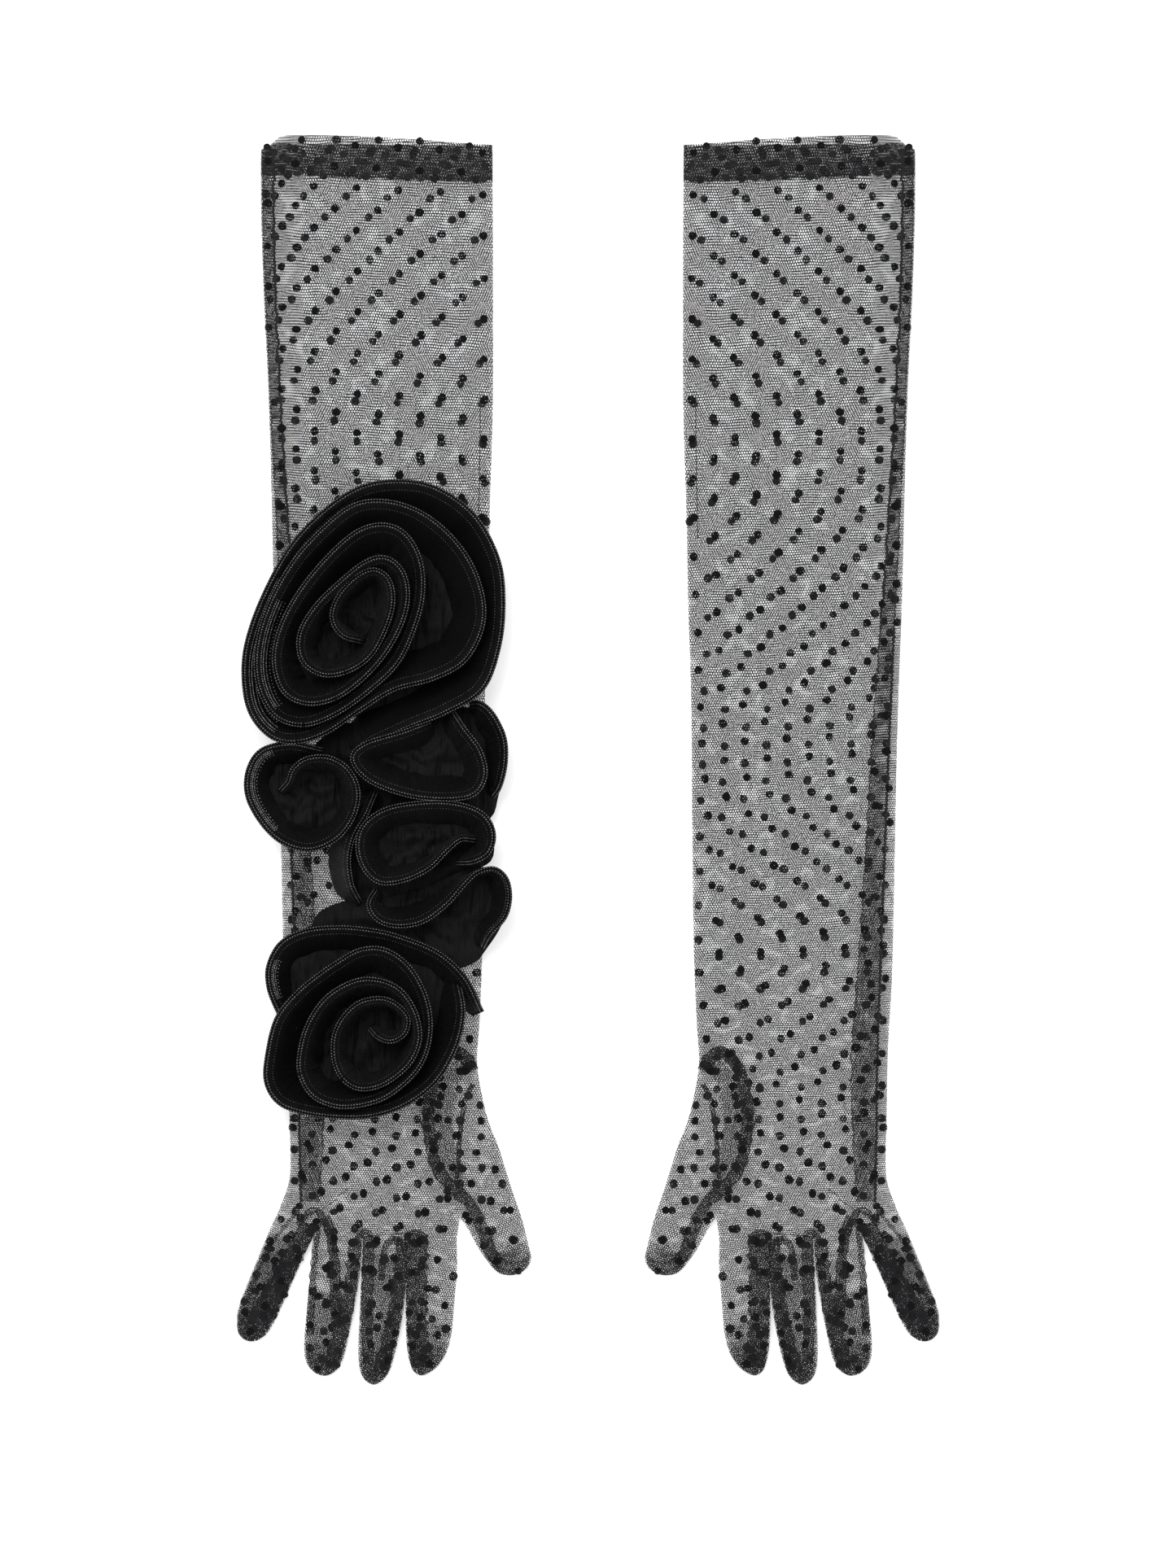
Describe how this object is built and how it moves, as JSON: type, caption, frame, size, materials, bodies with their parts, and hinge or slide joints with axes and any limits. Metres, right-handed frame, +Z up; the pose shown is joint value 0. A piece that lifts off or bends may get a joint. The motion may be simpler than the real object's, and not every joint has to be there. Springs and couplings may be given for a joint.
{
  "type": "opera gloves",
  "caption": "Pair of elbow-length sheer dotted-net opera gloves laid flat, with folding fingers, wrist and elbow, and ribbon roses along the forearm of the right-hand glove.",
  "frame": {"origin": "centre of the bounding box, at the surface the gloves lie on", "axes": "+Z up, +Y along the arms from fingertips to arm openings, +X from the rosette glove to the plain glove"},
  "size_m": [0.3324, 0.5911, 0.0393],
  "materials": {
    "net": "sheer black dotted net",
    "ribbon": "matte black crepe ribbon"
  },
  "bodies": {
    "rosette_forearm": {"rosette_forearm_back_layer": "net", "rosette_forearm_palm_layer": "net", "rosette_forearm_thumb_side_fold": "net", "rosette_forearm_side_seam": "net", "elbow_rose_outer_ruffle": "ribbon", "elbow_rose_second_ruffle": "ribbon", "elbow_rose_third_ruffle": "ribbon", "elbow_rose_inner_ruffle": "ribbon", "elbow_rose_bud": "ribbon", "upper_frill": "ribbon", "side_frill": "ribbon", "small_rose": "ribbon", "middle_rose": "ribbon", "linking_ruffle": "ribbon", "lower_frill": "ribbon", "wrist_rose_petal": "ribbon", "wrist_rose_outer_ruffle": "ribbon", "wrist_rose_second_ruffle": "ribbon", "wrist_rose_inner_ruffle": "ribbon", "wrist_rose_bud": "ribbon"},
    "rosette_upper_arm": {"rosette_hem": "net", "rosette_upper_arm_back_layer": "net", "rosette_upper_arm_palm_layer": "net", "rosette_upper_arm_thumb_side_fold": "net", "rosette_upper_arm_side_seam": "net"},
    "rosette_hand": {"rosette_hand_back_layer": "net", "rosette_hand_palm_layer": "net", "rosette_hand_thumb_side_fold": "net", "rosette_hand_side_seam": "net", "rosette_thumb_gusset": "net", "rosette_fourchette_index_middle": "net", "rosette_fourchette_middle_ring": "net", "rosette_fourchette_ring_little": "net"},
    "rosette_thumb": {"rosette_thumb": "net"},
    "rosette_index_finger": {"rosette_index_finger": "net"},
    "rosette_middle_finger": {"rosette_middle_finger": "net"},
    "rosette_ring_finger": {"rosette_ring_finger": "net"},
    "rosette_little_finger": {"rosette_little_finger": "net"},
    "plain_forearm": {"plain_forearm_back_layer": "net", "plain_forearm_palm_layer": "net", "plain_forearm_thumb_side_fold": "net", "plain_forearm_side_seam": "net"},
    "plain_upper_arm": {"plain_hem": "net", "plain_upper_arm_back_layer": "net", "plain_upper_arm_palm_layer": "net", "plain_upper_arm_thumb_side_fold": "net", "plain_upper_arm_side_seam": "net"},
    "plain_hand": {"plain_hand_back_layer": "net", "plain_hand_palm_layer": "net", "plain_hand_thumb_side_fold": "net", "plain_hand_side_seam": "net", "plain_thumb_gusset": "net", "plain_fourchette_index_middle": "net", "plain_fourchette_middle_ring": "net", "plain_fourchette_ring_little": "net"},
    "plain_thumb": {"plain_thumb": "net"},
    "plain_index_finger": {"plain_index_finger": "net"},
    "plain_middle_finger": {"plain_middle_finger": "net"},
    "plain_ring_finger": {"plain_ring_finger": "net"},
    "plain_little_finger": {"plain_little_finger": "net"}
  },
  "joints": [
    {"name": "rosette_elbow_fold", "type": "hinge", "parent": "rosette_forearm", "child": "rosette_upper_arm", "pos_m": [-0.098, 0.144, 0.0086], "axis": [1, 0, 0], "range_deg": [0, 90]},
    {"name": "rosette_wrist_fold", "type": "hinge", "parent": "rosette_forearm", "child": "rosette_hand", "pos_m": [-0.093, -0.176, 0.0083], "axis": [-1, 0, 0], "range_deg": [0, 90]},
    {"name": "rosette_thumb_fold", "type": "hinge", "parent": "rosette_hand", "child": "rosette_thumb", "pos_m": [-0.0478, -0.2122, 0.0083], "axis": [-0.9511, -0.309, 0], "range_deg": [0, 60]},
    {"name": "rosette_index_finger_fold", "type": "hinge", "parent": "rosette_hand", "child": "rosette_index_finger", "pos_m": [-0.0734, -0.2265, 0.0083], "axis": [-0.999, 0.0436, 0], "range_deg": [0, 90]},
    {"name": "rosette_middle_finger_fold", "type": "hinge", "parent": "rosette_hand", "child": "rosette_middle_finger", "pos_m": [-0.0958, -0.2265, 0.0083], "axis": [-0.9978, 0.0663, 0], "range_deg": [0, 90]},
    {"name": "rosette_ring_finger_fold", "type": "hinge", "parent": "rosette_hand", "child": "rosette_ring_finger", "pos_m": [-0.1179, -0.2265, 0.0083], "axis": [-0.9942, 0.108, 0], "range_deg": [0, 90]},
    {"name": "rosette_little_finger_fold", "type": "hinge", "parent": "rosette_hand", "child": "rosette_little_finger", "pos_m": [-0.1384, -0.2179, 0.0083], "axis": [-0.9304, 0.3665, 0], "range_deg": [0, 90]},
    {"name": "plain_glove_lift", "type": "slide", "parent": "rosette_forearm", "child": "plain_forearm", "axis": [0, 0, 1], "range_m": [0, 0.15]},
    {"name": "plain_elbow_fold", "type": "hinge", "parent": "plain_forearm", "child": "plain_upper_arm", "pos_m": [0.098, 0.144, 0.0086], "axis": [1, 0, 0], "range_deg": [0, 170]},
    {"name": "plain_wrist_fold", "type": "hinge", "parent": "plain_forearm", "child": "plain_hand", "pos_m": [0.093, -0.176, 0.0083], "axis": [-1, 0, 0], "range_deg": [0, 90]},
    {"name": "plain_thumb_fold", "type": "hinge", "parent": "plain_hand", "child": "plain_thumb", "pos_m": [0.0478, -0.2122, 0.0083], "axis": [-0.9511, 0.309, 0], "range_deg": [0, 60]},
    {"name": "plain_index_finger_fold", "type": "hinge", "parent": "plain_hand", "child": "plain_index_finger", "pos_m": [0.0734, -0.2265, 0.0083], "axis": [-0.999, -0.0436, 0], "range_deg": [0, 90]},
    {"name": "plain_middle_finger_fold", "type": "hinge", "parent": "plain_hand", "child": "plain_middle_finger", "pos_m": [0.0958, -0.2265, 0.0083], "axis": [-0.9978, -0.0663, 0], "range_deg": [0, 90]},
    {"name": "plain_ring_finger_fold", "type": "hinge", "parent": "plain_hand", "child": "plain_ring_finger", "pos_m": [0.1179, -0.2265, 0.0083], "axis": [-0.9942, -0.108, 0], "range_deg": [0, 90]},
    {"name": "plain_little_finger_fold", "type": "hinge", "parent": "plain_hand", "child": "plain_little_finger", "pos_m": [0.1384, -0.2179, 0.0083], "axis": [-0.9304, -0.3665, 0], "range_deg": [0, 90]}
  ]
}
